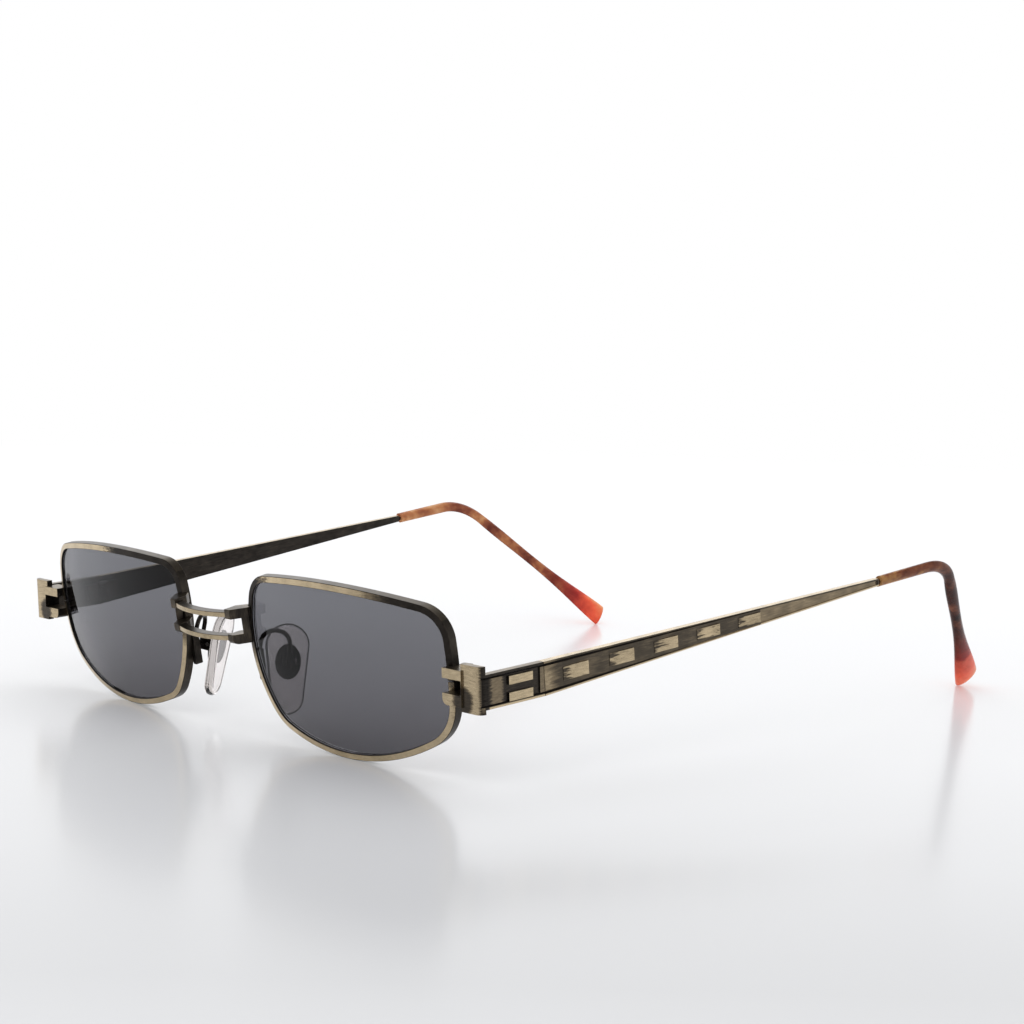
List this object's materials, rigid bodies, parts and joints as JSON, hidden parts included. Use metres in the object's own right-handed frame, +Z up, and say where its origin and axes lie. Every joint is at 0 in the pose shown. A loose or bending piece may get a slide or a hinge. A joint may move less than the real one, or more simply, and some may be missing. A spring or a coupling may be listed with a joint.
{
  "type": "sunglasses",
  "caption": "Narrow rectangle sunglasses: thin metal rims with smoke lenses, open bridge, forked end pieces, tapered folding temples with curved plastic tips, rocking nose pads.",
  "frame": {"origin": "on the table plane, midway between the two temples and midway from the bridge to the temple tips", "axes": "+X to the wearer's left, +Y from the lenses back to the ears, +Z up from the table"},
  "size_m": [0.1384, 0.162, 0.0302],
  "materials": {
    "antique_brass": "antique brushed brass, dark in the recesses",
    "smoke_lens": "smoke grey, polished",
    "tortoiseshell": "tortoiseshell, polished, slightly see-through",
    "clear_pad": "clear, polished",
    "screw_steel": "turned steel"
  },
  "bodies": {
    "front": {"bridge_bar_upper": "antique_brass", "bridge_bar_lower": "antique_brass", "rim_left": "antique_brass", "lens_left": "smoke_lens", "rim_lock_upper_left": "antique_brass", "rim_lock_lower_left": "antique_brass", "rim_lock_screw_left": "screw_steel", "bridge_lug_left": "antique_brass", "endpiece_left": "antique_brass", "hinge_front_left": "antique_brass", "hinge_screw_left": "screw_steel", "pad_arm_left": "antique_brass", "pad_box_left": "antique_brass", "pad_screw_left": "screw_steel", "rim_right": "antique_brass", "lens_right": "smoke_lens", "rim_lock_upper_right": "antique_brass", "rim_lock_lower_right": "antique_brass", "rim_lock_screw_right": "screw_steel", "bridge_lug_right": "antique_brass", "endpiece_right": "antique_brass", "hinge_front_right": "antique_brass", "hinge_screw_right": "screw_steel", "pad_arm_right": "antique_brass", "pad_box_right": "antique_brass", "pad_screw_right": "screw_steel"},
    "temple_left_arm": {"temple_left": "antique_brass", "hinge_temple_left": "antique_brass", "temple_tip_left": "tortoiseshell"},
    "pad_left": {"nose_pad_left": "clear_pad", "pad_mount_left": "antique_brass"},
    "temple_right_arm": {"temple_right": "antique_brass", "hinge_temple_right": "antique_brass", "temple_tip_right": "tortoiseshell"},
    "pad_right": {"nose_pad_right": "clear_pad", "pad_mount_right": "antique_brass"}
  },
  "joints": [
    {"name": "temple_left_fold", "type": "hinge", "parent": "front", "child": "temple_left_arm", "pos_m": [0.06145, -0.05878, 0.01678], "axis": [0, -0.1219, 0.9925], "range_deg": [0, 93]},
    {"name": "temple_right_fold", "type": "hinge", "parent": "front", "child": "temple_right_arm", "pos_m": [-0.06145, -0.05878, 0.01678], "axis": [0, 0.1219, -0.9925], "range_deg": [0, 88]},
    {"name": "pad_left_rock", "type": "hinge", "parent": "front", "child": "pad_left", "pos_m": [0.01186, -0.06896, 0.01343], "axis": [0.5299, 0.848, 0], "range_deg": [-8, 8]},
    {"name": "pad_right_rock", "type": "hinge", "parent": "front", "child": "pad_right", "pos_m": [-0.01186, -0.06896, 0.01343], "axis": [0.5299, -0.848, 0], "range_deg": [-8, 8]}
  ]
}
